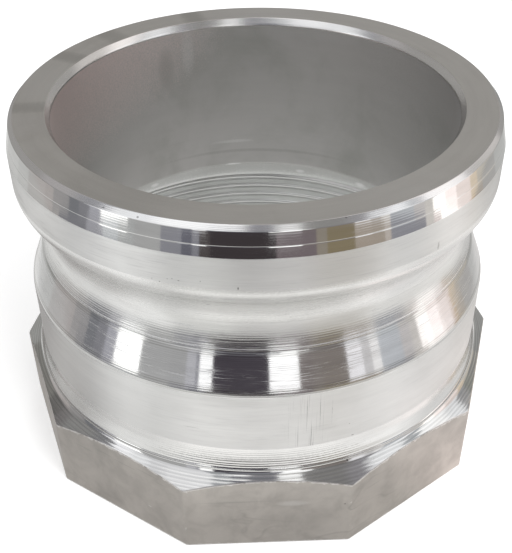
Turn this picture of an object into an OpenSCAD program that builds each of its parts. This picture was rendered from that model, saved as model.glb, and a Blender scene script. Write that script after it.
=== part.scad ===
// Cam and groove adapter, 3 inch size: a one-piece turned aluminium casting.
// Seen from above it has a flat gasket face, a lip, a round groove for the cams, a polished
// cone, a plain body and a ten-sided spanner base. A bore runs down to a pipe thread socket.
// Millimetres, +Z along the flow axis, origin at the centre of the base face.

/* [Overall] */
// Height from the base face to the gasket face
overall_h = 69.4; // [64:0.1:84]

/* [Lip] */
// Outside diameter of the lip, which the mating socket fits over
lip_d = 91.5; // [90:0.1:94]
// Height of the lip, from the gasket face down to where it rounds under
lip_h = 10.8; // [8:0.1:13]
// Bevel around the gasket face
bevel = 0.8; // [0.2:0.1:2]
// Height of the polished lead-in taper under the bevel
taper_h = 4.2; // [1:0.1:5.5]
// How far the taper draws in towards the bevel, on the radius
taper_in = 0.95; // [0.2:0.05:2]

/* [Cam groove] */
// Depth of the groove below the lip, on the radius
groove_depth = 4.45; // [3:0.05:5.5]
// Radius of the hollow of the groove, from its floor up
groove_round = 8.7; // [7:0.1:12]
// Radius of the hollow from its floor down to the sharp edge above the cone
groove_low_round = 14; // [7:0.5:20]
// Radius under the lip, which runs into the hollow
lip_round = 4.8; // [2:0.1:6]
// Rise from the groove floor to the sharp edge above the cone, on the radius
edge_rise = 0.85; // [0.4:0.05:2]

/* [Cone and body] */
// Height of the polished cone between the sharp edge and the body
cone_h = 7.7; // [5:0.1:10]
// Outside diameter of the body
body_d = 90.6; // [89.5:0.1:92]
// How far the body flares out at its foot, on the radius
foot_out = 0.6; // [0.3:0.05:1]
// Radius of the flare at the foot of the body
foot_round = 10; // [4:0.5:14]
// Width of the flat ledge outside the flare
ledge_w = 0.2; // [0.1:0.05:0.5]
// Depth of the step from the ledge to the sloping top of the base
ledge_step = 0.3; // [0.1:0.05:1]

/* [Spanner base] */
// Width of the ten-sided base across its flats
base_af = 95.1; // [94:0.1:105]
// Height of the base at its corners
base_h = 15.4; // [10:0.1:20]
// Slope of the turned top of the base, in degrees below level
base_slope = 37; // [20:1:45]

/* [Bore and socket] */
// Wall left between the floor of the cam groove and the flow bore
groove_wall = 3.9; // [2.5:0.1:6]
// Width of the chamfer around the mouth of the bore
mouth_w = 0.85; // [0.2:0.05:2.5]
// Depth of the chamfer around the mouth of the bore
mouth_h = 1.3; // [0.3:0.05:3]
// Inside diameter of the pipe thread, at its crests
thread_d = 84.93; // [80:0.01:85.3]
// Pitch of the pipe thread, 11 threads to the inch
thread_pitch = 2.309; // [1.8:0.001:2.4]
// Plain length between the last turn of the thread and the seat
thread_plain = 4; // [1:0.1:6]
// Depth of the thread socket, from the base face
thread_depth = 32; // [22:0.5:33]
// Height of the seat that closes the socket in to the bore
seat_h = 2.7; // [1:0.1:4]
// Chamfer at the thread's entry, 45 degrees
entry = 2; // [0.5:0.1:2.3]

/* [Hidden] */
$fn = 128;

sides = 10;      // flats on the base
clear = 1;       // how far cutters run past the faces that they cut
arc_steps = 12;  // straight runs in each arc of the turned outline
flank = 27.5;    // angle of the thread's flanks, half of 55 degrees
form = 0.64;     // depth of the thread as a share of its pitch

lip_r = lip_d / 2;
body_r = body_d / 2;
thread_r = thread_d / 2;
corner_r = base_af / 2 / cos(180 / sides);

// The lip's underside and the groove's hollow are arcs that meet at one slope
groove_r = lip_r - groove_depth;
bore_r = groove_r - groove_wall;
turn = acos(1 - groove_depth / (lip_round + groove_round));
lip_low = overall_h - lip_h;
groove_z = lip_low - (lip_round + groove_round) * sin(turn);
edge_turn = acos(1 - edge_rise / groove_low_round);
edge_r = groove_r + edge_rise;
edge_z = groove_z - groove_low_round * sin(edge_turn);
cone_low = edge_z - cone_h;

// The base slopes up from its corners to the ledge at the foot of the body
ledge_r = body_r + foot_out + ledge_w;
slope_top = base_h + (corner_r - ledge_r) * tan(base_slope);
ledge_z = slope_top + ledge_step;
foot_turn = acos(1 - foot_out / foot_round);
foot_z = ledge_z + foot_round * sin(foot_turn);

// The thread's turns, with a flat as wide at the crests as at the roots
root_r = thread_r + form * thread_pitch;
thread_turns = floor((thread_depth - thread_plain) / thread_pitch);
root_half = (thread_pitch / 2 - (root_r - thread_r) * tan(flank)) / 2;
mouth_half = thread_pitch / 2 - root_half;

// Points on an arc about a centre, from one angle to another
function arc(centre, r, from, to) =
    [for (i = [0 : arc_steps]) let (a = from + (to - from) * i / arc_steps)
        centre + r * [cos(a), sin(a)]];

// Outline of all that is turned above the base, from the axis outwards and up
module turned_outline() {
    polygon(concat(
        [[0, slope_top - clear], [ledge_r, slope_top - clear], [ledge_r, ledge_z]],
        arc([body_r + foot_round, foot_z], foot_round, 180 + foot_turn, 180),
        [[body_r, cone_low]],
        arc([groove_r + groove_low_round, groove_z], groove_low_round, 180 + edge_turn, 180),
        arc([groove_r + groove_round, groove_z], groove_round, 180, 180 - turn),
        arc([lip_r - lip_round, lip_low], lip_round, -turn, 0),
        [[lip_r, overall_h - bevel - taper_h],
         [lip_r - taper_in, overall_h - bevel],
         [lip_r - taper_in - bevel, overall_h],
         [0, overall_h]]));
}

// Ten-sided prism under a turned cone, with one flat square to -Y
module spanner_base() {
    intersection() {
        cylinder(r = corner_r, h = slope_top, $fn = sides);
        rotate_extrude()
            polygon([[0, 0], [corner_r + clear, 0],
                     [corner_r + clear, base_h - clear * tan(base_slope)],
                     [ledge_r, slope_top], [0, slope_top]]);
    }
}

// The turns of the thread, each as a closed ring groove of the thread's own section
module thread_grooves() {
    rotate_extrude()
        for (i = [0 : thread_turns - 1])
            translate([0, (i + 0.5) * thread_pitch])
                polygon([[thread_r - clear, -mouth_half], [thread_r, -mouth_half],
                         [root_r, -root_half], [root_r, root_half],
                         [thread_r, mouth_half], [thread_r - clear, mouth_half]]);
}

// Everything that the flow and the pipe need clear
module passage() {
    translate([0, 0, thread_depth])
        cylinder(r = bore_r, h = overall_h - thread_depth + clear);
    translate([0, 0, overall_h - mouth_h])
        cylinder(r1 = bore_r, r2 = bore_r + mouth_w, h = mouth_h);
    translate([0, 0, thread_depth])
        cylinder(r1 = thread_r, r2 = bore_r, h = seat_h);
    translate([0, 0, -clear])
        cylinder(r = thread_r, h = thread_depth + clear);
    cylinder(r1 = thread_r + entry, r2 = thread_r, h = entry);
    thread_grooves();
}

module adapter_body() {
    color("silver")
        difference() {
            union() {
                rotate_extrude() turned_outline();
                spanner_base();
            }
            passage();
        }
}

adapter_body();
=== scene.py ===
import math
import bpy
import numpy as np
from mathutils import Matrix, Vector


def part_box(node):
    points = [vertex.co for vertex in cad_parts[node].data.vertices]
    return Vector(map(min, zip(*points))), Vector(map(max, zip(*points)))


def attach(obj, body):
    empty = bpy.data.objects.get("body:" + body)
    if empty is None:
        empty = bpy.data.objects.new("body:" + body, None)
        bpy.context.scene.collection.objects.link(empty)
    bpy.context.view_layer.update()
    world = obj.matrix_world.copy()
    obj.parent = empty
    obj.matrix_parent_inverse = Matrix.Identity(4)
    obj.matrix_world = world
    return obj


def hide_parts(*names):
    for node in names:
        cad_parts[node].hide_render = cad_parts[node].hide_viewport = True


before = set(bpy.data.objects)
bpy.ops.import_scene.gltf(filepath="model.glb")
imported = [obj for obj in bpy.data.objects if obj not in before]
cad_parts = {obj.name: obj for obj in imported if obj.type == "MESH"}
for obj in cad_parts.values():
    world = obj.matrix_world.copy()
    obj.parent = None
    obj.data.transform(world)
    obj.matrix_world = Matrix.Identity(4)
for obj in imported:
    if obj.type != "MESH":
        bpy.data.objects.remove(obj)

# A cam and groove adapter in turned aluminium, on a white table
mm = 0.001
micron = 1e-6
scene = bpy.context.scene
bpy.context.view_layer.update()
bodyLow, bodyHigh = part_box("adapter_body")

# The turned outline, in millimetres, as the solid has it
adapter = {
    "height": (bodyHigh.z - bodyLow.z) / mm,
    "lipRadius": 45.75, "lipHeight": 10.8, "bevel": 0.8, "taperHeight": 4.2, "taperIn": 0.95,
    "grooveDepth": 4.45, "grooveRound": 8.7, "grooveLowRound": 14.0, "lipRound": 4.8, "edgeRise": 0.85,
    "coneHeight": 7.7, "bodyRadius": 45.3,
    "footOut": 0.6, "footRound": 10.0, "ledgeWidth": 0.2, "ledgeStep": 0.3,
    "acrossFlats": (bodyHigh.y - bodyLow.y) / mm, "baseHeight": 15.4, "baseSlope": 37,
    "sides": 10, "grooveWall": 3.9, "mouthWidth": 0.85, "mouthDepth": 1.3,
    "threadRadius": 42.465, "threadDepth": 32.0, "seatHeight": 2.7, "entry": 2.0,
}
# What the solid leaves out, and how fine the mesh is. The lines on the taper and the cone are cut round them,
# each point as (share of the way down, depth)
extra = {
    "taperLine": ((0.52, 0), (0.535, 0), (0.55, 0.03), (0.565, 0), (0.58, 0)),
    "coneLine": ((0.030, 0), (0.055, 0.08), (0.080, 0)),
    "conePolish": (0.18, 0.86),    # shares of the way down the cone between which it is polished
    "coneEase": 0.5,
    "footRings": 23.2,       # height below which the body has the feed marks of its foot
    "footLine": 0.12,        # width and depth of the fine line at the body's foot
    "cornerRound": 0.9,      # radius of the upright corners of the base
    "wornTop": 0.8,          # how far down the flats their top edge is chipped
    "wear": 0.6,             # how worn the flats are there, and at their upright corners
    "cornerWear": 0.3,
    "cornerReach": 1.6,      # how far that runs on from a corner, in rounds of the corner
    "columns": 300,          # mesh columns around the axis, a multiple of the sides
    "crowding": 0.72,        # how far the columns crowd to the base's corners
    "rowsPerTurn": 11,       # mesh rows in each turn of the thread
    "bendReach": 1.7,        # how far a rounded edge's shading runs on, in radii
}
thread = {"pitch": 2.309, "depth": 1.48, "start": -3.0, "end": 29.4, "runOut": 1.4}

# Camera, solved from the rings of the lip and the corners of the base
view = {
    "distance": 178.6, "elevation": 24.9, "turn": -1.81, "roll": -0.69,
    "aimAcross": -0.31, "aimBelowTop": 58.38,
    "focalPixels": 942.7, "sensor": 36.0,
    "frameWidth": 512, "frameHeight": 553, "axisColumn": 256.5, "axisRow": 340.5,
}


# Mesh of the casting

def arc(centre, radius, start, end, steps):
    angles = np.radians(np.linspace(start, end, steps + 1))
    return [(centre[0] + radius * math.cos(a), centre[1] + radius * math.sin(a)) for a in angles]


def baseRadius(angle, a):
    # Distance from the axis to the ten-sided wall, with rounded upright corners, and how near those are
    half = math.pi / a["sides"]
    flat = a["acrossFlats"] / 2
    rounding = extra["cornerRound"]
    centre = (flat - rounding) / math.cos(half)
    off = np.abs((angle + half) % (2 * half) - half)
    reach = math.atan2(rounding * math.sin(half), centre + rounding * math.cos(half))
    rounded = centre * np.cos(off) + np.sqrt(np.maximum(rounding ** 2 - (centre * np.sin(off)) ** 2, 0))
    upright = np.clip(1 - off / (extra["cornerReach"] * reach), 0, 1)
    return np.where(off < reach, rounded, flat / np.cos(half - off)), upright


def outlineOf(a, wall):
    # Corners of the outline: radius, height, edge round, finish of the next stretch, parts, crowding
    top = a["height"]
    lip = a["lipRadius"]
    groove = lip - a["grooveDepth"]
    bore = groove - a["grooveWall"]
    turn = math.degrees(math.acos(1 - a["grooveDepth"] / (a["lipRound"] + a["grooveRound"])))
    lipLow = top - a["lipHeight"]
    grooveMid = lipLow - (a["lipRound"] + a["grooveRound"]) * math.sin(math.radians(turn))
    edgeTurn = math.degrees(math.acos(1 - a["edgeRise"] / a["grooveLowRound"]))
    ledge = a["bodyRadius"] + a["footOut"] + a["ledgeWidth"]
    slope = math.tan(math.radians(a["baseSlope"]))
    corner = a["acrossFlats"] / 2 / math.cos(math.pi / a["sides"])
    slopeTop = a["baseHeight"] + (corner - ledge) * slope
    ledgeTop = slopeTop + a["ledgeStep"]
    footTurn = math.degrees(math.acos(1 - a["footOut"] / a["footRound"]))
    footMid = ledgeTop + a["footRound"] * math.sin(math.radians(footTurn))
    underLip = arc((lip - a["lipRound"], lipLow), a["lipRound"], 0, -turn, 8)
    hollow = arc((groove + a["grooveRound"], grooveMid), a["grooveRound"], 180 - turn, 180, 12)
    rise = arc((groove + a["grooveLowRound"], grooveMid), a["grooveLowRound"], 180, 180 + edgeTurn, 8)
    foot = arc((a["bodyRadius"] + a["footRound"], footMid), a["footRound"], 180, 180 + footTurn, 8)
    taperTop = top - a["bevel"]
    edge = rise[-1]
    coneEnd = (a["bodyRadius"], edge[1] - a["coneHeight"])
    coneRinged, coneFoot = (tuple(e + share * (c - e) for e, c in zip(edge, coneEnd))
                            for share in extra["conePolish"])
    coneLine = [(edge[0] + share * (coneEnd[0] - edge[0]) - deep, edge[1] + share * (coneEnd[1] - edge[1]))
                for share, deep in extra["coneLine"]]
    taperLine = [(lip - a["taperIn"] * (1 - share) - deep, taperTop - a["taperHeight"] * share)
                 for share, deep in extra["taperLine"]]
    footLine = (foot[-1][0] - extra["footLine"], foot[-1][1] + extra["footLine"])
    turns = int((a["threadDepth"] - a["entry"]) / thread["pitch"] * extra["rowsPerTurn"])
    flatTop = slopeTop - (wall - ledge) * slope

    def plainRows(points, finish):
        return [(r, z, 0, finish, 1, 0) for r, z in points]

    return [
        (bore, a["threadDepth"] + a["seatHeight"], 0.35, "bore", 5, 0),
        (bore, top - a["mouthDepth"], 0.25, "mouth", 1, 0),
        (bore + a["mouthWidth"], top, 0.12, "face", 3, 0),
        (lip - a["taperIn"] - a["bevel"], top, 0.07, "bevel", 1, 0),
        (lip - a["taperIn"], taperTop, 0.06, "taper", 2, 0),
        *plainRows(taperLine, "taper"),
        (lip, taperTop - a["taperHeight"], 0.06, "land", 3, 0),
        *plainRows(underLip[:-1] + hollow[:-1], "groove"),
        *plainRows(rise[:-1], "grooveRings"),
        (*edge, 0.10, "coneRings", 1, 0),
        *plainRows(coneLine, "coneRings"),
        (*coneRinged, 0, "cone", 4, 0),
        (*coneFoot, 0, "coneRings", 1, 0),
        (*coneEnd, extra["coneEase"], "body", 5, 0),
        (a["bodyRadius"], extra["footRings"], 0, "foot", 1, 0),
        *plainRows(foot[:-1] + [footLine], "foot"),
        (*foot[-1], 0.02, "slope", 1, 0),
        (ledge, ledgeTop, 0.05, "slope", 1, 0),
        (ledge, slopeTop, 0, "slope", 4, 0),
        (wall, flatTop, 0.15, "cast", 1, 1),
        (wall, flatTop - extra["wornTop"], 0, "cast", 5, 1),
        (wall, 0, 0.4, "under", 3, 1),
        (a["threadRadius"] + a["entry"], 0, 0.1, "thread", 8, 0),
        (a["threadRadius"], a["entry"], 0, "thread", turns, 0),
        (a["threadRadius"], a["threadDepth"], 0.1, "seat", 2, 0),
    ]


# The round at the top of the cone takes a lighter, rougher finish. Its lighter tint is a painted highlight line
# along that edge
bendFinish = {"coneRings": "wearAndHighlight", "body": "coneRings"}     # finish of the rounded edge above some stretches


def castingMesh(a):
    count = extra["columns"]
    half = math.pi / a["sides"]
    even = np.arange(count) * 2 * math.pi / count
    middle = (even % (2 * half)) - half
    crowded = even + extra["crowding"] * half / math.pi * np.sin(math.pi * middle / half)
    wall, upright = baseRadius(crowded, a)
    corners = []
    for r, z, edge, finish, parts, crowd in outlineOf(a, wall):
        spot = np.stack([np.broadcast_to(r, count), np.broadcast_to(z, count)], 1).astype(float)
        corners.append((spot, edge, finish, parts, float(crowd)))
    rows, finishes, edges, crowds = [], [], [], []

    def addRow(spot, finish, edge, crowd):
        rows.append(spot)
        finishes.append(finish)
        edges.append(edge)
        crowds.append(crowd)

    leave = []   # where each stretch starts and ends, after its corners are rounded
    arrive = []
    total = len(corners)
    bendReach = extra["bendReach"]
    for i, (spot, edge, finish, parts, crowd) in enumerate(corners):
        back = corners[i - 1][0] - spot
        on = corners[(i + 1) % total][0] - spot
        back = back / np.linalg.norm(back, axis=1, keepdims=True)
        on = on / np.linalg.norm(on, axis=1, keepdims=True)
        arrive.append(spot + back * edge * bendReach)
        leave.append(spot + on * edge * bendReach)
    for i, (spot, edge, finish, parts, crowd) in enumerate(corners):
        if edge > 0:
            start = spot + (arrive[i] - spot) / bendReach
            end = spot + (leave[i] - spot) / bendReach
            addRow(arrive[i], corners[i - 1][2], 0, crowd)
            for t in (0, 1 / 3, 2 / 3, 1):
                bend = (1 - t) ** 2 * start + 2 * t * (1 - t) * spot + t * t * end
                addRow(bend, bendFinish.get(finish, finish) if t < 1 else finish, 1, crowd)
            addRow(leave[i], finish, extra["wear"] if finish == "cast" else 0, crowd)
        else:
            addRow(spot, finish, 0, crowd)
        following = (i + 1) % total
        for k in range(1, parts):
            t = k / parts
            crowdHere = crowd + (corners[following][4] - crowd) * t
            addRow(leave[i] * (1 - t) + arrive[following] * t, finish, 0, crowdHere)

    outline = np.array(rows)                          # row, column, (radius, height)
    angle = even + (crowded - even) * np.array(crowds)[:, None]
    radius = outline[:, :, 0]
    points = np.stack([radius * np.cos(angle), radius * np.sin(angle), outline[:, :, 1]], -1)
    along = np.concatenate([np.zeros((1, count)), np.linalg.norm(np.diff(outline, axis=0), axis=2).cumsum(0)])
    rowCount = len(rows)
    index = np.arange(rowCount * count).reshape(rowCount, count)
    nextRow = np.roll(index, -1, 0)
    quads = np.stack([index, nextRow, np.roll(nextRow, -1, 1), np.roll(index, -1, 1)], -1).reshape(-1, 4)

    mesh = bpy.data.meshes.new("casting")
    mesh.vertices.add(rowCount * count)
    mesh.vertices.foreach_set("co", (points * mm).ravel())
    mesh.loops.add(quads.size)
    mesh.loops.foreach_set("vertex_index", quads.ravel())
    mesh.polygons.add(len(quads))
    mesh.polygons.foreach_set("loop_start", np.arange(0, quads.size, 4))
    mesh.update(calc_edges=True)
    names = list(dict.fromkeys(finishes))
    mesh.polygons.foreach_set("material_index", np.repeat([names.index(f) for f in finishes], count))
    mesh.polygons.foreach_set("use_smooth", np.ones(len(quads), bool))
    inCast = np.array([f == "cast" for f in finishes], float)[:, None]
    inThread = np.array([f == "thread" for f in finishes], float)[:, None] + np.zeros(count)
    wearAndHighlight = np.maximum(np.array(edges, float)[:, None] + np.zeros(count), extra["cornerWear"] * upright * inCast)
    for name, values in (("along", along * mm), ("edge", wearAndHighlight), ("threadWall", inThread)):
        values = values.astype(np.float32).ravel()
        mesh.attributes.new(name, "FLOAT", "POINT").data.foreach_set("value", values)
    mesh.validate()
    return mesh, names


# Small helpers for node trees

def addNode(tree, kind, links=None, **settings):
    node = tree.nodes.new(kind)
    for key, value in settings.items():
        setattr(node, key, value)
    for key, value in (links or {}).items():
        if isinstance(value, bpy.types.NodeSocket):
            tree.links.new(value, node.inputs[key])
        else:
            node.inputs[key].default_value = value
    return node


def maths(tree, operation, first, second=0.0, third=0.0):
    node = addNode(tree, "ShaderNodeMath", {0: first, 1: second, 2: third}, operation=operation)
    return node.outputs[0]


def times(tree, first, second):
    return maths(tree, "MULTIPLY", first, second)


def plus(tree, first, second):
    return maths(tree, "ADD", first, second)


def minus(tree, first, second):
    return maths(tree, "SUBTRACT", first, second)


def vectorMaths(tree, operation, first, second=(0, 0, 0)):
    slot = "Scale" if operation == "SCALE" else 1
    node = addNode(tree, "ShaderNodeVectorMath", {0: first, slot: second}, operation=operation)
    return node.outputs["Value" if operation == "LENGTH" else "Vector"]


def splitUp(tree, vector):
    return addNode(tree, "ShaderNodeSeparateXYZ", {0: vector}).outputs


def spread(tree, value, low, high, toLow=0.0, toHigh=1.0, smooth=False):
    node = addNode(tree, "ShaderNodeMapRange", {"Value": value, "From Min": low, "From Max": high,
                                               "To Min": toLow, "To Max": toHigh})
    node.interpolation_type = "SMOOTHSTEP" if smooth else "LINEAR"
    return node.outputs["Result"]


def newGroup(name, inputs, outputs):
    tree = bpy.data.node_groups.new(name, "ShaderNodeTree")
    for label, value in inputs.items():
        tree.interface.new_socket(label, in_out="INPUT", socket_type="NodeSocketFloat").default_value = value
    for label in outputs:
        tree.interface.new_socket(label, in_out="OUTPUT", socket_type="NodeSocketFloat")
    return tree, tree.nodes.new("NodeGroupInput").outputs, tree.nodes.new("NodeGroupOutput").inputs


def useGroup(tree, group, values):
    return addNode(tree, "ShaderNodeGroup", values, node_tree=group).outputs


def mixColour(tree, factor, first, second):
    links = {0: factor}
    for slot, value in ((6, first), (7, second)):
        links[slot] = value if isinstance(value, bpy.types.NodeSocket) else (*value, 1)
    return addNode(tree, "ShaderNodeMix", links, data_type="RGBA").outputs[2]


# The thread is cut by Geometry Nodes: each point of the socket's wall moves out by the thread's form

def threadTree():
    tree = bpy.data.node_groups.new("cutThread", "GeometryNodeTree")
    sockets = {"Geometry": "NodeSocketGeometry", "Pitch": "NodeSocketFloat", "Depth": "NodeSocketFloat",
               "Crest Radius": "NodeSocketFloat", "Start": "NodeSocketFloat", "End": "NodeSocketFloat",
               "Run Out": "NodeSocketFloat", "Metal": "NodeSocketMaterial"}
    for label, kind in sockets.items():
        tree.interface.new_socket(label, in_out="INPUT", socket_type=kind)
    tree.interface.new_socket("Geometry", in_out="OUTPUT", socket_type="NodeSocketGeometry")
    given = tree.nodes.new("NodeGroupInput").outputs
    result = tree.nodes.new("NodeGroupOutput").inputs

    split = splitUp(tree, addNode(tree, "GeometryNodeInputPosition").outputs[0])
    level = addNode(tree, "ShaderNodeCombineXYZ", {0: split["X"], 1: split["Y"]}).outputs[0]
    radius = vectorMaths(tree, "LENGTH", level)
    outward = vectorMaths(tree, "NORMALIZE", level)
    around = maths(tree, "DIVIDE", maths(tree, "ARCTAN2", split["Y"], split["X"]), 2 * math.pi)
    turns = minus(tree, maths(tree, "DIVIDE", split["Z"], given["Pitch"]), around)
    phase = maths(tree, "MULTIPLY_ADD", maths(tree, "FRACT", turns), 2.0, -1.0)
    ramp = minus(tree, 1.0, maths(tree, "ABSOLUTE", phase))
    form = spread(tree, ramp, 0.12, 0.94, smooth=True)
    rising = spread(tree, split["Z"], given["Start"], plus(tree, given["Start"], given["Run Out"]))
    falling = spread(tree, split["Z"], minus(tree, given["End"], given["Run Out"]), given["End"], 1.0, 0.0)
    depth = times(tree, times(tree, form, given["Depth"]), times(tree, rising, falling))
    cut = plus(tree, given["Crest Radius"], depth)
    move = maths(tree, "MAXIMUM", minus(tree, cut, radius), 0.0)
    offset = vectorMaths(tree, "SCALE", outward, move)
    isWall = addNode(tree, "GeometryNodeInputNamedAttribute", {"Name": "threadWall"}, data_type="FLOAT")
    chosen = addNode(tree, "FunctionNodeCompare", {0: isWall.outputs[0], 1: 0.5}, data_type="FLOAT",
                     operation="GREATER_THAN").outputs[0]
    moved = addNode(tree, "GeometryNodeSetPosition",
                    {"Geometry": given["Geometry"], "Selection": chosen, "Offset": offset})
    real = addNode(tree, "GeometryNodeRealizeInstances", {"Geometry": moved.outputs[0]})
    painted = addNode(tree, "GeometryNodeSetMaterial",
                      {"Geometry": real.outputs[0], "Selection": chosen, "Material": given["Metal"]})
    tree.links.new(painted.outputs[0], result["Geometry"])
    return tree


# Effects that several finishes share

def objectSpot(tree):
    return addNode(tree, "ShaderNodeTexCoord").outputs["Object"]


def attributeOf(tree, name):
    return addNode(tree, "ShaderNodeAttribute", attribute_name=name).outputs["Fac"]


def noise(tree, where, scale=1.0, detail=2.0, rough=0.5, bend=0.0):
    return addNode(tree, "ShaderNodeTexNoise", {"Vector": where, "Scale": scale, "Detail": detail,
                                                "Roughness": rough, "Distortion": bend}).outputs


def turnedNoise(tree, around, perMetre, detail=2.0, rough=0.5):
    # Noise for marks that run round the axis: slow around it, quick along the outline
    outward = vectorMaths(tree, "NORMALIZE", vectorMaths(tree, "MULTIPLY", objectSpot(tree), (1, 1, 0)))
    wide = vectorMaths(tree, "SCALE", outward, around)
    along = times(tree, attributeOf(tree, "along"), perMetre)
    tall = addNode(tree, "ShaderNodeCombineXYZ", {2: along}).outputs[0]
    return noise(tree, vectorMaths(tree, "ADD", wide, tall), 1.0, detail, rough)["Fac"]


def streakGroup():
    # Streaks that run part of the way round
    inputs = {"Per Metre": 2000.0, "Around": 2.0, "Detail": 3.0}
    tree, given, result = newGroup("turningStreaks", inputs, ["Value"])
    value = turnedNoise(tree, given["Around"], given["Per Metre"], given["Detail"], rough=0.65)
    tree.links.new(value, result["Value"])
    return tree


def ringGroup():
    # Feed marks of the lathe, evenly spaced but of uneven depth
    tree, given, result = newGroup("feedMarks", {"Spacing": 0.0003, "Unevenness": 0.5}, ["Height"])
    slow = turnedNoise(tree, around=1.6, perMetre=1500.0)
    waver = times(tree, slow, 0.8)
    count = plus(tree, maths(tree, "DIVIDE", attributeOf(tree, "along"), given["Spacing"]), waver)
    wave = maths(tree, "MULTIPLY_ADD", maths(tree, "COSINE", times(tree, count, 2 * math.pi)), 0.5, 0.5)
    uneven = times(tree, times(tree, slow, 1.8), given["Unevenness"])
    strength = plus(tree, minus(tree, 1.0, given["Unevenness"]), uneven)
    tree.links.new(times(tree, wave, strength), result["Height"])
    return tree


def lineGroup():
    # Fine scored lines, in patches, that run part of the way round
    tree, given, result = newGroup("scoredLines", {"Per Metre": 3600.0, "Around": 6.0}, ["Mask"])
    lines = spread(tree, turnedNoise(tree, given["Around"], given["Per Metre"]), 0.53, 0.70)
    patch = spread(tree, turnedNoise(tree, around=2.5, perMetre=420.0), 0.30, 0.62)
    tree.links.new(times(tree, lines, patch), result["Mask"])
    return tree


def speckGroup():
    # Small dark pits of ragged outline: Share is how many of the cells hold one
    tree, given, result = newGroup("pits", {"Size": 0.0003, "Share": 0.02}, ["Mask"])
    spot = objectSpot(tree)
    ragged = vectorMaths(tree, "MULTIPLY", noise(tree, spot, scale=5200.0)["Color"], (0.0003, 0.0003, 0.0003))
    where = vectorMaths(tree, "ADD", ragged, spot)
    scale = maths(tree, "DIVIDE", 0.25, given["Size"])
    cells = addNode(tree, "ShaderNodeTexVoronoi", {"Vector": where, "Scale": scale})
    chance = addNode(tree, "ShaderNodeSeparateColor", {0: cells.outputs["Color"]}).outputs
    few = maths(tree, "LESS_THAN", chance[0], given["Share"])
    reach = maths(tree, "MULTIPLY_ADD", chance[1], 0.14, 0.05)
    dot = maths(tree, "LESS_THAN", cells.outputs["Distance"], reach)
    tree.links.new(times(tree, dot, few), result["Mask"])
    return tree


def patchGroup():
    # Soft cloudy patches
    tree, given, result = newGroup("cloudyPatches", {"Scale": 40.0, "From": 0.4, "To": 0.7}, ["Mask"])
    cloudy = noise(tree, objectSpot(tree), given["Scale"], detail=5.0, rough=0.6, bend=0.4)["Fac"]
    tree.links.new(spread(tree, cloudy, given["From"], given["To"], smooth=True), result["Mask"])
    return tree


def veinGroup():
    # Faint wavy veins, as cast metal shows where it met as it flowed
    tree, given, result = newGroup("castVeins", {"Scale": 80.0}, ["Mask"])
    spot = objectSpot(tree)
    flattened = vectorMaths(tree, "MULTIPLY", spot, (1, 1, 2.6))
    wavy = noise(tree, flattened, given["Scale"], bend=0.4)["Fac"]
    ridge = spread(tree, maths(tree, "ABSOLUTE", minus(tree, wavy, 0.5)), 0.0, 0.016, 1.0, 0.0)
    patch = noise(tree, vectorMaths(tree, "ADD", spot, (0.4, 0.1, 0.7)), scale=60.0)["Fac"]
    tree.links.new(times(tree, ridge, spread(tree, patch, 0.42, 0.60)), result["Mask"])
    return tree


def placedGroup():
    # One small mark: degrees right of the front, height, and half its width and height
    sizes = {"Degrees": 0.0, "Height": 0.03, "Half Width": 0.0002, "Half Height": 0.0002}
    tree, given, result = newGroup("placedMark", sizes, ["Mask", "Across", "Up"])
    spot = objectSpot(tree)
    split = splitUp(tree, spot)
    radius = vectorMaths(tree, "LENGTH", vectorMaths(tree, "MULTIPLY", spot, (1, 1, 0)))
    angle = maths(tree, "ARCTAN2", split["X"], times(tree, split["Y"], -1.0))
    off = minus(tree, angle, times(tree, given["Degrees"], math.pi / 180))
    across = times(tree, maths(tree, "WRAP", off, math.pi, -math.pi), radius)
    up = minus(tree, split["Z"], given["Height"])
    wide, tall = (maths(tree, "POWER", maths(tree, "ABSOLUTE", maths(tree, "DIVIDE", length, given[half])), 2.0)
                  for length, half in ((across, "Half Width"), (up, "Half Height")))
    ragged = times(tree, noise(tree, spot, scale=4500.0, detail=1.0)["Fac"], 1.2)
    reach = plus(tree, plus(tree, wide, tall), ragged)
    tree.links.new(spread(tree, reach, 0.7, 1.7, 1.0, 0.0), result["Mask"])
    tree.links.new(across, result["Across"])
    tree.links.new(up, result["Up"])
    return tree


def scratchGroup():
    # Fine upright scratches, from a place's own width and height
    tree, given, result = newGroup("uprightScratches", {"Across": 0.0, "Up": 0.0}, ["Mask"])
    where = addNode(tree, "ShaderNodeCombineXYZ", {0: times(tree, given["Across"], 4600.0),
                                                   1: times(tree, given["Up"], 55.0)}).outputs[0]
    tree.links.new(spread(tree, noise(tree, where)["Fac"], 0.60, 0.68), result["Mask"])
    return tree


streaks = streakGroup()
feedMarks = ringGroup()
scoredLines = lineGroup()
pits = speckGroup()
patches = patchGroup()
veins = veinGroup()
placedMark = placedGroup()
scratches = scratchGroup()

# Textures that all finishes share
texture = {
    "streak": {"Per Metre": 2600.0, "Around": 1.3, "Detail": 4.0},
    "broadStreak": {"Per Metre": 500.0, "Around": 2.2, "Detail": 3.0},
    "cloud": {"Scale": 46.0, "From": 0.42, "To": 0.72},
    "scored": {"Per Metre": 4800.0, "Around": 8.0},
    "veins": {"Scale": 48.0},
    "mottle": {"Scale": 190.0, "From": 0.35, "To": 0.7},
    "wear": {"Scale": 700.0, "From": 0.35, "To": 0.75},
    "unevenness": 0.7,        # of the feed marks
    "roughStreak": 0.06, "roughCloud": 0.04,        # how far they change the roughness
    "shadeSpan": (0.35, 0.7), "wearSpan": (1.0, 1.3), "wearStrength": 0.8,
    "faintest": 0.05,         # what is left of the feed marks outside the place that chatter gives
    "pitSize": 0.0006, "pitStrength": 0.6, "grainScale": 900.0,
}
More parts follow.
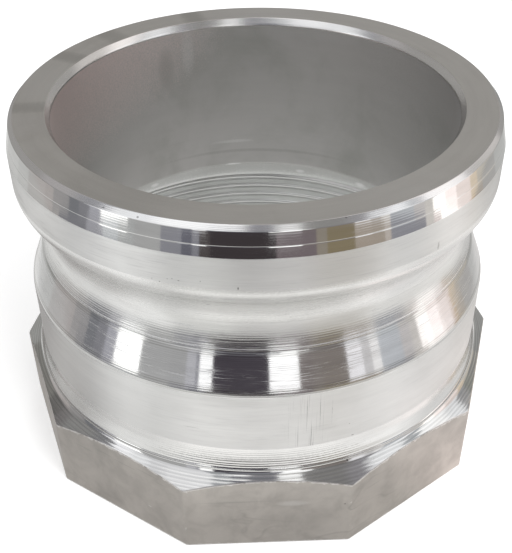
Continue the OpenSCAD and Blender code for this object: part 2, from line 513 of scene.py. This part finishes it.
# Finish of each stretch. Lengths in metres: spacing and depth of the feed marks, depth of streaks and grain.
# Fade gives the two heights in millimetres between which the feed marks come in, chatter the place where they
# are deep, and lines what scored lines add to rough. Shades, veins and mottle darken the colour by that share
# The mark shade darkens the colour in the valleys of the feed marks: painted shade in the rings
plain = {"tint": (0.86, 0.86, 0.85), "stain": (0.72, 0.71, 0.69), "stainAmount": 0.2, "rough": 0.2,
         "aniso": 0.8, "marks": (0.00030, 1e-6), "fade": None, "markShade": 0.0, "streak": 1e-6, "lines": 0.0,
         "lineShade": 0.0, "grain": 0.0, "veins": 0.0, "mottle": 0.0, "chatter": None, "pits": 0.0,
         "streakShade": 0.08}
finishes = {
    "bore": {"tint": (0.64, 0.63, 0.62), "stain": (0.47, 0.48, 0.45), "stainAmount": 0.6, "rough": 0.48,
             "aniso": 0.0, "marks": (0.00045, 0.6e-6), "grain": 1.2e-6, "streakShade": 0.03},
    "mouth": {"tint": (0.90, 0.90, 0.89), "stainAmount": 0.1, "rough": 0.22, "aniso": 0.5, "streakShade": 0.05},
    "face": {"tint": (0.83, 0.82, 0.79), "stain": (0.60, 0.57, 0.53), "stainAmount": 0.35, "rough": 0.30,
             "aniso": 0.3, "marks": (0.00018, 0.5e-6), "lines": 0.10, "grain": 0.8e-6, "pits": 0.004,
             "streakShade": 0.06},
    "bevel": {"tint": (0.90, 0.90, 0.90), "stainAmount": 0.1, "rough": 0.14, "aniso": 0.3, "streak": 2e-6,
              "streakShade": 0.03},
    "taper": {"stain": (0.6, 0.57, 0.56), "stainAmount": 0.15, "rough": 0.06, "aniso": 0.3,
              "marks": (0.00042, 0.5e-6), "streak": 0.8e-6, "lines": 0.04, "pits": 0.002},
    "land": {"rough": 0.30, "marks": (0.00022, 2e-6), "markShade": 0.05, "lines": 0.12, "lineShade": 0.06,
             "pits": 0.006, "streakShade": 0.07},
    "groove": {"tint": (0.92, 0.92, 0.91), "rough": 0.23, "marks": (0.00040, 2e-6), "lines": 0.12,
               "pits": 0.003, "streakShade": 0.05},
    "grooveRings": {"rough": 0.18, "marks": (0.00046, 11e-6), "fade": (47.4, 45.2), "markShade": 0.12,
                    "streak": 2e-6, "lines": 0.15, "streakShade": 0.10},
    # Finish of the round at the top of the cone: its lighter tint is a painted highlight line
    "wearAndHighlight": {"tint": (0.98, 0.98, 0.98), "rough": 0.42, "aniso": 0.0},
    "coneRings": {"rough": 0.12, "marks": (0.00042, 8e-6), "markShade": 0.2, "streak": 3e-6, "lines": 0.3,
                  "streakShade": 0.15},
    "cone": {"tint": (0.87, 0.87, 0.87), "stain": (0.6, 0.58, 0.58), "stainAmount": 0.12, "rough": 0.095,
             "aniso": 0.85, "marks": (0.00036, 6e-6), "fade": (38.5, 43.5), "markShade": 0.10, "streak": 2.4e-6,
             "lines": 0.24, "pits": 0.002, "streakShade": 0.12},
    "body": {"rough": 0.31, "marks": (0.00033, 1.5e-6), "lines": 0.08, "lineShade": 0.05, "pits": 0.004,
             "streakShade": 0.06},
    "foot": {"stain": (0.5, 0.5, 0.5), "stainAmount": 0.15, "rough": 0.13, "marks": (0.00046, 24e-6),
             "fade": (23.2, 20.9), "chatter": (-2.0, 19.6, 20.0, 5.0), "markShade": 0.22, "lines": 0.1,
             "streakShade": 0.10},
    "slope": {"stain": (0.45, 0.43, 0.42), "rough": 0.09, "aniso": 0.6, "marks": (0.00068, 6e-6),
              "markShade": 0.14, "streak": 1.5e-6, "lines": 0.08, "grain": 0.5e-6, "pits": 0.006,
              "streakShade": 0.12},
    "cast": {"tint": (0.58, 0.55, 0.515), "stain": (0.46, 0.435, 0.41), "stainAmount": 0.6, "veins": 0.14,
             "mottle": 0.16, "rough": 0.46, "aniso": 0.0, "marks": (0.00100, 0.0), "streak": 0.0, "grain": 9e-6,
             "pits": 0.006, "streakShade": 0.0},
    "under": {"tint": (0.80, 0.79, 0.77), "rough": 0.30, "aniso": 0.5, "marks": (0.00040, 5e-6)},
    "thread": {"tint": (0.90, 0.91, 0.90), "stain": (0.7, 0.7, 0.68), "stainAmount": 0.2, "rough": 0.34,
               "aniso": 0.2, "marks": (0.00020, 0.2e-6), "grain": 1e-6, "pits": 0.004, "streakShade": 0.06},
    "seat": {"tint": (0.50, 0.50, 0.49), "rough": 0.26, "aniso": 0.4, "marks": (0.00030, 3e-6), "grain": 1e-6},
}
edgeTint = {"cast": (0.80, 0.78, 0.76)}      # worn bright metal at the base's edges
# Single marks: degrees right of the front, height, half width and half height in millimetres, strength, kind
# Light marks are used both for chips and paler patches and for painted highlights and reflections. Dark smudges
# are used both for stains and for painted shade. The pink patch is a painted reflection
markTint = {"pit": (0.07, 0.065, 0.06), "smudgeAndShade": (0.30, 0.30, 0.28), "paintedPinkReflection": (0.97, 0.85, 0.83),
            "paleMarkAndHighlight": (0.92, 0.92, 0.92), "speck": (0.10, 0.095, 0.09), "scratch": (0.20, 0.20, 0.20)}
placed = {
    # In the bore: the large pink patch on the left and the light patches and smears on the wall are painted
    # reflections. The light dash at 34.8 mm is a painted highlight at the seat's edge. The thin dark ring at
    # 38.3 mm is painted shade, the line that a step in the wall would cast
    "bore": [(-98.0, 74.0, 47.0, 25.5, 0.95, "paintedPinkReflection"), (-159.0, 63.5, 1.6, 5.5, 0.3, "paleMarkAndHighlight"),
             (-151.0, 60.5, 2.2, 5.0, 0.25, "smudgeAndShade"), (98.0, 66.0, 26.0, 22.0, 0.3, "paleMarkAndHighlight"),
             (-174.0, 40.8, 5.0, 0.45, 0.35, "paleMarkAndHighlight"), (178.0, 38.3, 24.0, 0.45, 0.25, "smudgeAndShade"),
             (-173.6, 34.8, 2.0, 0.35, 0.9, "paleMarkAndHighlight")],
    # On the thread: the long dark band at 31.1 mm is a painted shadow line at a thread root. The light dashes
    # are painted highlights where the turns start
    "thread": [(180.0, 31.1, 400.0, 1.9, 0.47, "smudgeAndShade"), (163.6, 30.4, 1.2, 0.5, 0.6, "paleMarkAndHighlight"),
               (142.6, 30.2, 1.5, 0.6, 0.7, "paleMarkAndHighlight"), (-147.2, 30.5, 1.2, 0.5, 0.7, "paleMarkAndHighlight")],
    "cast": [(-7.3, 12.0, 7.0, 0.20, 0.3, "smudgeAndShade"), (5.6, 11.2, 3.2, 0.8, 0.2, "paleMarkAndHighlight"),
             (-46.0, 13.2, 2.6, 0.18, 0.3, "smudgeAndShade"), (-40.3, 14.7, 2.6, 0.16, 0.3, "smudgeAndShade"),
             (-34.0, 14.5, 3.2, 0.16, 0.3, "smudgeAndShade"), (-27.5, 15.2, 2.8, 0.16, 0.3, "smudgeAndShade"),
             (-23.6, 14.2, 1.6, 0.16, 0.3, "smudgeAndShade"), (-27.6, 6.1, 0.5, 0.16, 0.5, "paleMarkAndHighlight"),
             (24.0, 12.0, 2.2, 0.2, 0.25, "smudgeAndShade")],
    "face": [(-34.0, 69.4, 11.0, 40.0, 0.16, "smudgeAndShade"), (178.0, 69.4, 14.0, 40.0, 0.3, "paleMarkAndHighlight"),
             (33.0, 69.4, 9.0, 40.0, 0.2, "paleMarkAndHighlight"), (-76.0, 69.4, 5.0, 40.0, 0.15, "paleMarkAndHighlight"),
             (-86.0, 69.4, 2.4, 40.0, 0.30, "smudgeAndShade"), (-118.0, 69.4, 2.6, 40.0, 0.34, "smudgeAndShade"),
             (-136.0, 69.4, 2.8, 40.0, 0.30, "smudgeAndShade"), (-163.0, 69.4, 2.6, 40.0, 0.34, "smudgeAndShade"),
             (-100.0, 69.4, 8.0, 40.0, 0.12, "paleMarkAndHighlight")],
    "land": [(-5.5, 59.0, 0.12, 0.34, 0.8, "pit"), (-12.8, 59.9, 0.10, 0.10, 0.6, "pit"),
             (-17.2, 59.5, 0.22, 0.08, 0.6, "pit"), (-18.5, 59.7, 0.10, 0.10, 0.5, "pit"),
             (-19.5, 59.5, 0.10, 0.10, 0.6, "pit"), (-21.2, 58.7, 0.14, 0.12, 0.7, "pit"),
             (-22.8, 59.0, 0.09, 0.09, 0.6, "pit"), (38.0, 59.4, 0.25, 0.9, 0.5, "smudgeAndShade")],
    # On the groove: the broad dark patch at the front is painted shade
    "groove": [(-2.0, 53.5, 24.0, 9.0, 0.3, "smudgeAndShade"), (-12.5, 53.0, 0.22, 0.12, 0.8, "pit"),
               (4.5, 50.6, 0.10, 0.14, 0.7, "pit"), (22.0, 52.0, 0.6, 0.25, 0.25, "smudgeAndShade")],
    "body": [(14.2, 22.4, 0.16, 0.13, 0.8, "pit"), (19.0, 26.6, 0.10, 0.10, 0.8, "pit"),
             (20.0, 23.5, 0.30, 0.12, 0.7, "pit"), (-17.0, 27.5, 1.6, 0.10, 0.25, "pit")],
    "slope": [(18.5, 18.3, 0.22, 0.16, 0.9, "pit")],
    "bevel": [(-28.0, 69.33, 0.30, 0.10, 0.8, "paleMarkAndHighlight"), (-25.5, 68.9, 0.22, 0.14, 0.6, "pit"),
              (-30.0, 68.9, 0.5, 0.12, 0.8, "paleMarkAndHighlight"), (-33.5, 68.9, 0.35, 0.12, 0.5, "pit"),
              (15.8, 69.25, 0.20, 0.10, 0.5, "pit")],
}
scratched = {"body": (9.5, 28.5, 4.6, 9.5, 0.75)}      # a field of upright scratches, in the same terms


def markAt(tree, degrees, height, wide, tall):
    return useGroup(tree, placedMark, {"Degrees": degrees, "Height": height * mm, "Half Width": wide * mm,
                                       "Half Height": tall * mm})


def metalFinish(name, look):
    metal = bpy.data.materials.new(name + "Aluminium")
    metal.use_nodes = True
    tree = metal.node_tree
    shader = tree.nodes["Principled BSDF"]
    streak = useGroup(tree, streaks, texture["streak"])["Value"]
    broad = useGroup(tree, streaks, texture["broadStreak"])["Value"]
    cloud = useGroup(tree, patches, texture["cloud"])["Mask"]
    spacing, depth = look["marks"]
    marks = useGroup(tree, feedMarks, {"Spacing": spacing, "Unevenness": texture["unevenness"]})["Height"]
    if look["fade"]:
        up = splitUp(tree, objectSpot(tree))["Z"]
        marks = times(tree, marks, spread(tree, up, look["fade"][0] * mm, look["fade"][1] * mm))
    if look["chatter"]:
        deep = markAt(tree, *look["chatter"])["Mask"]
        marks = times(tree, marks, spread(tree, deep, 0.0, 1.0, texture["faintest"], 1.0))

    broadShade = times(tree, spread(tree, broad, *texture["shadeSpan"]), look["streakShade"])
    # The valleys of the feed marks darken the colour: painted shade in the rings
    dark = plus(tree, broadShade, times(tree, marks, look["markShade"]))
    if look["lines"] > 0:
        scored = useGroup(tree, scoredLines, texture["scored"])["Mask"]
        dark = plus(tree, dark, times(tree, scored, look["lineShade"]))
    if look["veins"] > 0:
        dark = plus(tree, dark, times(tree, useGroup(tree, veins, texture["veins"])["Mask"], look["veins"]))
        dark = plus(tree, dark, times(tree, useGroup(tree, patches, texture["mottle"])["Mask"], look["mottle"]))
    stained = mixColour(tree, times(tree, cloud, look["stainAmount"]), look["tint"], look["stain"])
    colour = vectorMaths(tree, "SCALE", stained, minus(tree, 1.0, dark))
    if name in edgeTint:
        wear = plus(tree, attributeOf(tree, "edge"), useGroup(tree, patches, texture["wear"])["Mask"])
        wearAndHighlight = times(tree, spread(tree, wear, *texture["wearSpan"]), texture["wearStrength"])
        colour = mixColour(tree, wearAndHighlight, colour, edgeTint[name])
    if look["pits"] > 0:
        dots = useGroup(tree, pits, {"Size": texture["pitSize"], "Share": look["pits"]})["Mask"]
        colour = mixColour(tree, times(tree, dots, texture["pitStrength"]), colour, markTint["speck"])
    for *where, strength, kind in placed.get(name, []):
        mark = times(tree, markAt(tree, *where)["Mask"], strength)
        colour = mixColour(tree, mark, colour, markTint[kind])
    if name in scratched:
        *where, strength = scratched[name]
        field = markAt(tree, *where)
        lines = useGroup(tree, scratches, {"Across": field["Across"], "Up": field["Up"]})["Mask"]
        amount = times(tree, times(tree, lines, field["Mask"]), strength)
        colour = mixColour(tree, amount, colour, markTint["scratch"])
    tree.links.new(colour, shader.inputs["Base Color"])

    rough = plus(tree, look["rough"] - texture["roughStreak"] / 2, times(tree, streak, texture["roughStreak"]))
    rough = plus(tree, rough, times(tree, cloud, texture["roughCloud"]))
    if look["lines"] > 0:
        rough = plus(tree, rough, times(tree, scored, look["lines"]))
    tree.links.new(rough, shader.inputs["Roughness"])
    shader.inputs["Metallic"].default_value = 1.0
    if look["aniso"] > 0:
        shader.inputs["Anisotropic"].default_value = look["aniso"]
        shader.inputs["Anisotropic Rotation"].default_value = 0.25
        ring = addNode(tree, "ShaderNodeTangent", direction_type="RADIAL", axis="Z")
        tree.links.new(ring.outputs[0], shader.inputs["Tangent"])
    height = times(tree, streak, look["streak"] / micron)
    height = minus(tree, height, times(tree, marks, depth / micron))
    if look["grain"] > 0:
        grain = noise(tree, objectSpot(tree), texture["grainScale"], detail=4.0)["Fac"]
        height = plus(tree, height, times(tree, grain, look["grain"] / micron))
    bump = addNode(tree, "ShaderNodeBump", {"Height": height, "Distance": micron, "Strength": 1.0})
    tree.links.new(bump.outputs[0], shader.inputs["Normal"])
    return metal


print("stage: casting mesh")
rawMesh, finishNames = castingMesh(adapter)
metals = {name: metalFinish(name, {**plain, **finishes[name]}) for name in finishNames}
for name in finishNames:
    rawMesh.materials.append(metals[name])
casting = bpy.data.objects.new("turned_casting", rawMesh)
scene.collection.objects.link(casting)

print("stage: cutting the thread")
cutter = casting.modifiers.new("thread", "NODES")
cutter.node_group = threadTree()
threadInputs = {"Pitch": thread["pitch"] * mm, "Depth": thread["depth"] * mm,
                "Crest Radius": adapter["threadRadius"] * mm, "Start": thread["start"] * mm,
                "End": thread["end"] * mm, "Run Out": thread["runOut"] * mm, "Metal": metals["thread"]}
for item in cutter.node_group.interface.items_tree:
    if item.in_out == "INPUT" and item.name in threadInputs:
        cutter[item.identifier] = threadInputs[item.name]
depsgraph = bpy.context.evaluated_depsgraph_get()
evaluated = casting.evaluated_get(depsgraph)
threaded = bpy.data.meshes.new_from_object(evaluated, preserve_all_data_layers=True, depsgraph=depsgraph)
casting.modifiers.remove(cutter)
casting.data = threaded
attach(casting, "root")
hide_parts("adapter_body")
print("stage: casting has", len(threaded.polygons) * 2, "triangles")


# Table, room and light

# The room's wall is banded by height, in metres. A fall lowers a height to the sides, for each square degree
room = {
    "radius": 0.36, "bottom": -0.33, "top": 0.56,
    "farTable": -0.050, "farFall": 3.2e-6,       # below this the wall stands for the far end of the table
    "sill": 0.0315, "sillFall": 7.6e-6, "sillTilt": 3.5e-5,
    "sillReach": 9000.0,                         # the sill falls no further past this many square degrees
    "lintel": 0.150, "lintelFall": 1.4e-5,
    "lintelReach": 8000.0,                       # the lintel is level up to here
    "eaves": 0.540, "eavesFall": 4.05e-5, "eavesEase": 7.1e-10,     # what the base's slope sees ends here
    "farBlend": 0.010, "sillBlend": 0.002, "lintelBlend": 0.02, "eavesBlend": 0.005,
    "tableBlur": 4.0, "bevelBlur": 2.0,          # degrees over which neighbouring colours run together
}
# Table close to the casting, as glow that only the metal's reflections see: radii between which one zone passes
# into the next. Its zone under the casting is a painted shadow
mat = {"radius": 0.118, "under": (0.034, 0.048), "near": (0.059, 0.068), "open": (0.086, 0.100),
       "paintedShadowColour": (0.66, 0.66, 0.65), "blur": 8.0}
# What stands round the bench: degrees right of the front where it starts, and colour, from the back on the left
nearBand = [(-180, 0.50, 0.49, 0.47), (-110, 0.63, 0.62, 0.61), (20, 0.72, 0.70, 0.68), (45, 1.30, 1.20, 1.17),
            (120, 0.86, 0.82, 0.80), (150, 0.66, 0.65, 0.63)]
matBand = [(-180, 0.42, 0.41, 0.40), (-120, 0.34, 0.325, 0.32), (-92, 0.51, 0.50, 0.49),
           (-62, 0.84, 0.84, 0.83), (-30, 1.18, 1.17, 1.15), (25, 1.04, 1.03, 1.02), (55, 0.76, 0.755, 0.75),
           (85, 0.77, 0.75, 0.74), (135, 0.66, 0.65, 0.64)]
tableBand = [(-180, 0.58, 0.58, 0.57), (-150, 0.82, 0.82, 0.81), (-118, 0.86, 0.86, 0.85),
             (-72, 1.00, 1.00, 0.99), (-42, 0.74, 0.74, 0.72), (-12, 0.62, 0.61, 0.60), (20, 0.64, 0.62, 0.59),
             (48, 0.86, 0.85, 0.83), (84, 0.88, 0.87, 0.85), (112, 0.72, 0.71, 0.70), (138, 0.66, 0.65, 0.64)]
benchBand = [(-180, 0.70, 0.70, 0.69), (-146, 0.60, 0.60, 0.59), (-125, 0.56, 0.56, 0.55),
             (-113, 0.49, 0.48, 0.47), (-97, 0.42, 0.40, 0.39), (-89, 0.22, 0.22, 0.24),
             (-74, 0.36, 0.36, 0.39), (-66, 0.52, 0.54, 0.56), (-59, 0.44, 0.45, 0.45), (-52, 0.41, 0.41, 0.41),
             (-40, 0.26, 0.26, 0.29), (-32, 0.14, 0.14, 0.17), (-28, 0.23, 0.23, 0.26), (-24, 0.08, 0.07, 0.07),
             (-20, 0.05, 0.042, 0.045), (4.5, 0.18, 0.15, 0.16), (20, 0.28, 0.25, 0.21), (25, 0.24, 0.20, 0.13),
             (36, 0.37, 0.32, 0.27), (48, 0.50, 0.45, 0.41), (52, 0.28, 0.28, 0.31), (68, 0.66, 0.63, 0.60),
             (72, 0.74, 0.65, 0.63), (76, 1.50, 1.45, 1.42), (89, 1.08, 1.03, 1.02), (94.5, 0.50, 0.38, 0.28),
             (99.5, 0.45, 0.41, 0.37), (106, 0.44, 0.43, 0.42), (120, 0.50, 0.50, 0.49),
             (141, 0.60, 0.60, 0.59), (147, 0.95, 0.95, 0.94)]
windowBand = [(-180, 0.34, 0.34, 0.34), (-166, 1.1, 1.1, 1.1), (-158, 0.18, 0.17, 0.17),
              (-140, 0.33, 0.33, 0.32), (-112, 0.48, 0.45, 0.44), (-98.5, 0.45, 0.42, 0.41),
              (-94, 0.35, 0.34, 0.34), (-84, 0.20, 0.205, 0.22), (-77.5, 0.25, 0.25, 0.27),
              (-72.5, 0.43, 0.43, 0.47), (-66.5, 1.7, 1.7, 1.68), (-54, 0.42, 0.42, 0.42),
              (-33.5, 0.54, 0.54, 0.57), (-29, 0.30, 0.30, 0.33), (-27, 1.3, 1.3, 1.3),
              (-22, 0.07, 0.062, 0.075), (2.8, 1.4, 1.4, 1.4), (14.5, 0.23, 0.205, 0.195),
              (35.5, 1.0, 0.99, 1.02), (43.5, 0.66, 0.65, 0.66), (46.5, 0.95, 0.94, 0.94),
              (51.5, 0.58, 0.60, 0.63), (63, 0.64, 0.61, 0.60), (68, 0.66, 0.63, 0.60), (73, 1.45, 1.40, 1.36),
              (79, 1.25, 1.13, 1.10), (86, 0.95, 0.84, 0.80), (96.5, 0.76, 0.65, 0.52), (102, 0.60, 0.56, 0.50),
              (118, 0.38, 0.38, 0.37), (150, 1.2, 1.2, 1.2), (160, 0.16, 0.15, 0.17)]
ceilingBand = [(-180, 0.33, 0.32, 0.31), (-105, 0.42, 0.40, 0.40), (-89, 0.30, 0.30, 0.32),
               (-74, 0.80, 0.81, 0.81), (-66, 0.92, 0.93, 0.95), (-56, 1.15, 1.15, 1.15),
               (-8, 0.27, 0.265, 0.28), (8, 0.58, 0.57, 0.56), (23.5, 0.26, 0.255, 0.24),
               (48, 0.28, 0.275, 0.275), (66, 0.90, 0.89, 0.90), (70.5, 0.48, 0.50, 0.51),
               (77, 0.94, 0.87, 0.86), (86, 1.05, 0.98, 0.95), (99, 0.62, 0.59, 0.57), (124, 0.35, 0.34, 0.33)]
slopeBand = [(-180, 0.34, 0.34, 0.34), (-166, 1.1, 1.1, 1.1), (-158, 0.18, 0.17, 0.17),
             (-140, 0.36, 0.36, 0.35), (-128, 0.22, 0.215, 0.20), (-108, 0.15, 0.145, 0.14),
             (-101, 0.20, 0.19, 0.19), (-96, 0.28, 0.28, 0.275), (-84, 0.23, 0.23, 0.24),
             (-76, 1.15, 1.15, 1.18), (-68, 0.95, 0.96, 0.98), (-60, 0.74, 0.74, 0.76), (-50, 0.84, 0.84, 0.86),
             (-28, 0.40, 0.41, 0.43), (-18, 0.20, 0.20, 0.22), (8, 1.15, 1.15, 1.15), (21, 0.24, 0.235, 0.235),
             (43, 0.32, 0.31, 0.33), (53, 1.05, 1.06, 1.08), (70.5, 0.46, 0.48, 0.50), (78, 1.20, 1.20, 1.20),
             (91, 0.95, 0.96, 0.98), (97.5, 0.38, 0.38, 0.39), (103, 0.29, 0.295, 0.27),
             (109, 0.27, 0.27, 0.265), (150, 1.2, 1.2, 1.2), (160, 0.16, 0.15, 0.17)]


def roomRamp(tree, turned, stops, blur=0.0):
    around = maths(tree, "MULTIPLY_ADD", turned, 1 / (2 * math.pi), 0.5)
    ramp = addNode(tree, "ShaderNodeValToRGB", {0: around})
    ramp.color_ramp.interpolation = "LINEAR" if blur else "CONSTANT"
    points = []
    for (angle, *colour), following in zip(stops, stops[1:] + [(180,)]):
        points.append((angle + blur, colour))
        if blur:
            points.append((following[0] - blur, colour))
    band = ramp.color_ramp
    while len(band.elements) < len(points):
        band.elements.new(1.0)
    for element, (angle, colour) in zip(band.elements, points):
        element.position = min(max(angle / 360 + 0.5, 0), 1)
        element.color = (*colour, 1)
    return ramp.outputs[0]


def glowingPaint(name):
    # A material that only shines, with the place of a point and its angle round the axis
    paint = bpy.data.materials.new(name)
    paint.use_nodes = True
    tree = paint.node_tree
    tree.nodes.remove(tree.nodes["Principled BSDF"])
    split = splitUp(tree, objectSpot(tree))
    turned = maths(tree, "ARCTAN2", split["X"], times(tree, split["Y"], -1.0))
    return paint, tree, split, turned


def shine(tree, colour):
    glow = addNode(tree, "ShaderNodeEmission", {"Color": colour, "Strength": 1.0})
    tree.links.new(glow.outputs[0], tree.nodes["Material Output"].inputs["Surface"])


def matMaterial():
    # From the middle: a painted shadow under the casting, then what the flats see, what the body sees, and the
    # open table
    paint, tree, split, turned = glowingPaint("matPaint")
    level = addNode(tree, "ShaderNodeCombineXYZ", {0: split["X"], 1: split["Y"]}).outputs[0]
    radius = vectorMaths(tree, "LENGTH", level)
    near = mixColour(tree, spread(tree, radius, *mat["near"]), roomRamp(tree, turned, nearBand, mat["blur"]),
                     roomRamp(tree, turned, matBand, mat["blur"]))
    outer = mixColour(tree, spread(tree, radius, *mat["open"]), near,
                      roomRamp(tree, turned, tableBand, room["tableBlur"]))
    shine(tree, mixColour(tree, spread(tree, radius, *mat["under"]), mat["paintedShadowColour"], outer))
    return paint


def roomMaterial():
    # From below: the far table, the bench, the windows, and above the lintel what the slope and the bevel see
    paint, tree, split, turned = glowingPaint("roomPaint")
    up = split["Z"]
    degrees = times(tree, turned, 180 / math.pi)
    square = times(tree, degrees, degrees)

    def stepAt(over, blend, below, above, smooth=True):
        return mixColour(tree, spread(tree, over, -room[blend], room[blend], smooth=smooth), below, above)

    sideways = times(tree, square, room["farFall"])
    overTable = plus(tree, up, minus(tree, sideways, room["farTable"]))
    fall = times(tree, maths(tree, "MINIMUM", square, room["sillReach"]), -room["sillFall"])
    tilted = maths(tree, "MULTIPLY_ADD", degrees, -room["sillTilt"], room["sill"])
    overSill = minus(tree, up, plus(tree, fall, tilted))
    beside = maths(tree, "MAXIMUM", minus(tree, square, room["lintelReach"]), 0.0)
    overLintel = plus(tree, up, maths(tree, "MULTIPLY_ADD", beside, room["lintelFall"], -room["lintel"]))
    eaves = maths(tree, "MULTIPLY_ADD", times(tree, square, square), room["eavesEase"], room["eaves"])
    overEaves = minus(tree, up, maths(tree, "MULTIPLY_ADD", square, -room["eavesFall"], eaves))

    lower = roomRamp(tree, turned, tableBand, room["tableBlur"])
    lower = stepAt(overTable, "farBlend", lower, roomRamp(tree, turned, benchBand))
    lower = stepAt(overSill, "sillBlend", lower, roomRamp(tree, turned, windowBand))
    upper = stepAt(overEaves, "eavesBlend", roomRamp(tree, turned, slopeBand),
                   roomRamp(tree, turned, ceilingBand, room["bevelBlur"]), smooth=False)
    shine(tree, stepAt(overLintel, "lintelBlend", lower, upper))
    return paint


def revolved(name, outline, columns, paint):
    mesh = bpy.data.meshes.new(name)
    angles = [2 * math.pi * k / columns for k in range(columns)]
    points = [(r * math.cos(t), r * math.sin(t), z) for r, z in outline for t in angles]
    quads = [(i * columns + k, i * columns + (k + 1) % columns, (i + 1) * columns + (k + 1) % columns,
              (i + 1) * columns + k) for i in range(len(outline) - 1) for k in range(columns)]
    mesh.from_pydata(points, [], quads)
    mesh.materials.append(paint)
    item = bpy.data.objects.new(name, mesh)
    scene.collection.objects.link(item)
    return item


studio = {
    "tableRadius": 3.0, "tableColour": (0.90, 0.90, 0.90, 1), "tableRough": 0.9, "tableGlow": 0.30,
    "skyLight": 0.85,        # strength of the white around for what isn't seen directly
    "lampSize": 0.35, "lampEnergy": 2.8, "lampPlace": (0.30, -0.42, 0.62), "lampAim": (0, 0, 0.03),
}


def tableMaterial():
    # White, with a little glow for the camera only, so that it meets the background
    paint = bpy.data.materials.new("tablePaint")
    paint.use_nodes = True
    tree = paint.node_tree
    given = tree.nodes["Principled BSDF"].inputs
    given["Base Color"].default_value = studio["tableColour"]
    given["Roughness"].default_value = studio["tableRough"]
    given["Specular IOR Level"].default_value = 0.0
    given["Emission Color"].default_value = (1, 1, 1, 1)
    seen = addNode(tree, "ShaderNodeLightPath").outputs["Is Camera Ray"]
    tree.links.new(times(tree, seen, studio["tableGlow"]), given["Emission Strength"])
    return paint


print("stage: table and room")
hubRadius = 0.001       # radius of the small hole where each revolved piece ends
shellOutline = [(room["radius"], room["bottom"]), (room["radius"], room["top"]), (hubRadius, room["top"])]
shell = revolved("room", shellOutline, 128, roomMaterial())
table = revolved("table", [(studio["tableRadius"], 0.0), (hubRadius, 0.0)], 48, tableMaterial())
nearTable = revolved("mat", [(mat["radius"], 0.0), (hubRadius, 0.0)], 96, matMaterial())
table.visible_glossy = False
for item in (shell, nearTable):       # only the metal's reflections see the room and the near part of the table
    item.visible_camera = False
    item.visible_diffuse = False
    item.visible_shadow = False

world = bpy.data.worlds.new("studio")
scene.world = world
world.use_nodes = True
worldTree = world.node_tree
backdrop = worldTree.nodes["Background"]
backdrop.inputs["Color"].default_value = (1, 1, 1, 1)
rays = addNode(worldTree, "ShaderNodeLightPath").outputs
mirrored = maths(worldTree, "MAXIMUM", rays["Is Glossy Ray"], rays["Is Transmission Ray"])
seen = maths(worldTree, "MAXIMUM", rays["Is Camera Ray"], mirrored)
worldTree.links.new(spread(worldTree, seen, 0.0, 1.0, studio["skyLight"], 1.0), backdrop.inputs["Strength"])

lampData = bpy.data.lights.new("softbox", "AREA")
lampData.shape = "RECTANGLE"
lampData.size = studio["lampSize"]
lampData.size_y = studio["lampSize"]
lampData.energy = studio["lampEnergy"]
lamp = bpy.data.objects.new("softbox", lampData)
lamp.location = studio["lampPlace"]
lamp.rotation_euler = (Vector(studio["lampAim"]) - lamp.location).to_track_quat("-Z", "Y").to_euler()
lamp.visible_glossy = False
scene.collection.objects.link(lamp)


# Camera

def placeCamera(v):
    tilt = math.radians(v["elevation"])
    top = adapter["height"]
    spun = Matrix.Rotation(math.radians(v["turn"]), 3, "Z")
    raised = Vector((0, 0, top + v["distance"] * math.sin(tilt)))
    eye = spun @ Vector((0, -v["distance"] * math.cos(tilt), 0)) + raised
    aim = spun @ Vector((v["aimAcross"], 0, 0)) + Vector((0, 0, top - v["aimBelowTop"]))
    forward = (aim - eye).normalized()
    right = forward.cross(Vector((0, 0, 1))).normalized()
    up = right.cross(forward)
    roll = math.radians(v["roll"])
    right, up = math.cos(roll) * right + math.sin(roll) * up, math.cos(roll) * up - math.sin(roll) * right
    lens = bpy.data.cameras.new("camera")
    lens.sensor_width = v["sensor"]
    lens.lens = v["focalPixels"] / v["frameHeight"] * v["sensor"]
    lens.shift_x = (v["frameWidth"] / 2 - v["axisColumn"]) / v["frameHeight"]
    lens.shift_y = (v["axisRow"] - v["frameHeight"] / 2) / v["frameHeight"]
    lens.clip_start = 0.01
    lens.clip_end = 20
    camera = bpy.data.objects.new("camera", lens)
    turned = Matrix((right, up, -forward)).transposed().to_4x4()
    camera.matrix_world = Matrix.Translation(eye * mm) @ turned
    scene.collection.objects.link(camera)
    scene.camera = camera


placeCamera(view)
scene.view_settings.view_transform = "Standard"

bpy.context.view_layer.update()
